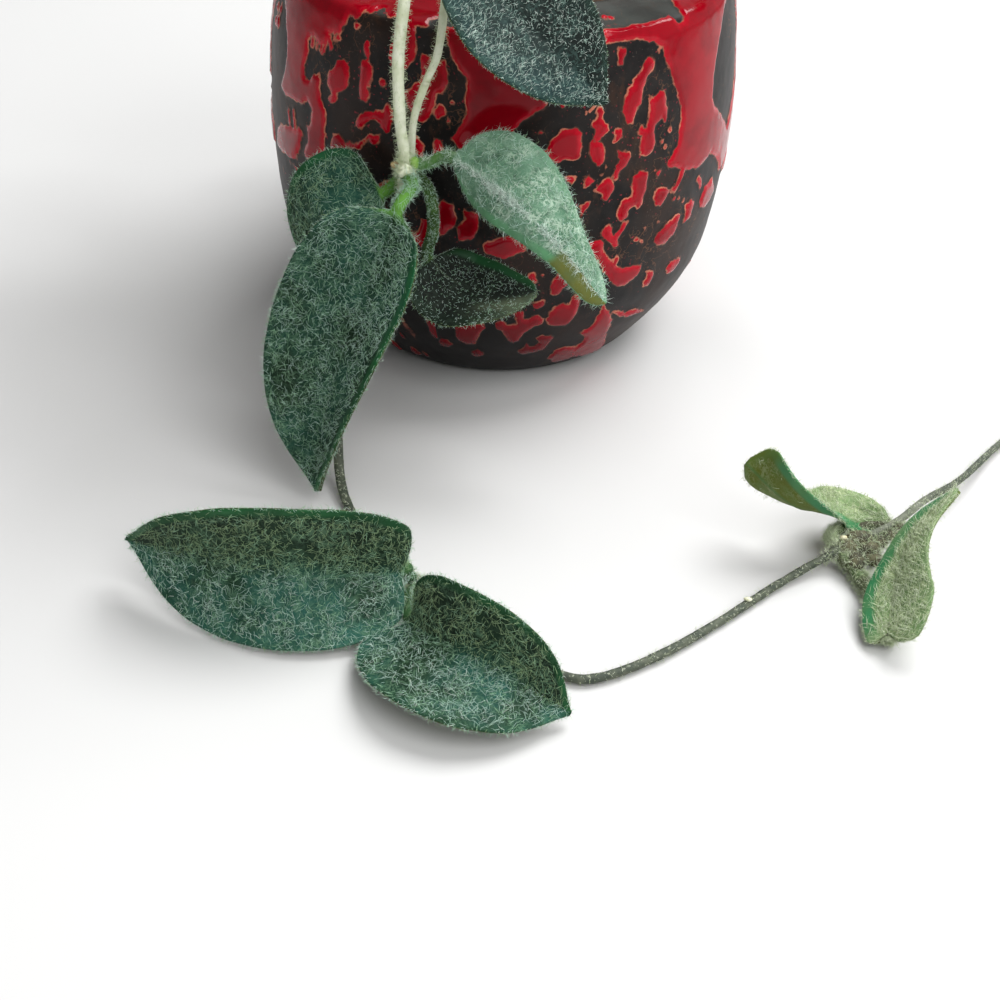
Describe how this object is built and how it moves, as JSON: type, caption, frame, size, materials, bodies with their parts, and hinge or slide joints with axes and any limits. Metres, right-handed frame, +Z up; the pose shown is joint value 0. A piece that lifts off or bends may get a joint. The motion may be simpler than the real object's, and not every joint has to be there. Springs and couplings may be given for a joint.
{
  "type": "potted trailing plant",
  "caption": "Hairy-leaved trailing hoya in a round glazed pot, with one long vine over the rim and along the surface it stands on.",
  "frame": {"origin": "centre of the pot's flat foot, on the surface it stands on", "axes": "+Z up along the pot's axis, -Y towards the viewer of the picture, where the long vine hangs over the rim, +X towards the vine's growing tip"},
  "size_m": [0.2876, 0.2828, 0.1618],
  "materials": {
    "glaze": "gloss",
    "soil": "matte",
    "stem": "matte",
    "leaf": "matte"
  },
  "bodies": {
    "root": {"pot": "glaze", "soil": "soil", "vine_long": "stem", "vine_short": "stem", "vine_crown": "stem", "vine_right": "stem", "vine_left": "stem", "vine_back": "stem", "leaf_long_1": "leaf", "leaf_long_2": "leaf", "leaf_long_3": "leaf", "leaf_long_4": "leaf", "leaf_long_5": "leaf", "leaf_long_6": "leaf", "leaf_long_7": "leaf", "leaf_long_8": "leaf", "leaf_short_1": "leaf", "leaf_short_2": "leaf", "leaf_crown_1": "leaf", "leaf_crown_2": "leaf", "leaf_right_1": "leaf", "leaf_right_2": "leaf", "leaf_right_3": "leaf", "leaf_right_4": "leaf", "leaf_left_1": "leaf", "leaf_left_2": "leaf", "leaf_left_3": "leaf", "leaf_left_4": "leaf", "leaf_back_1": "leaf", "leaf_back_2": "leaf", "leaf_back_3": "leaf", "leaf_back_4": "leaf"}
  },
  "joints": []
}
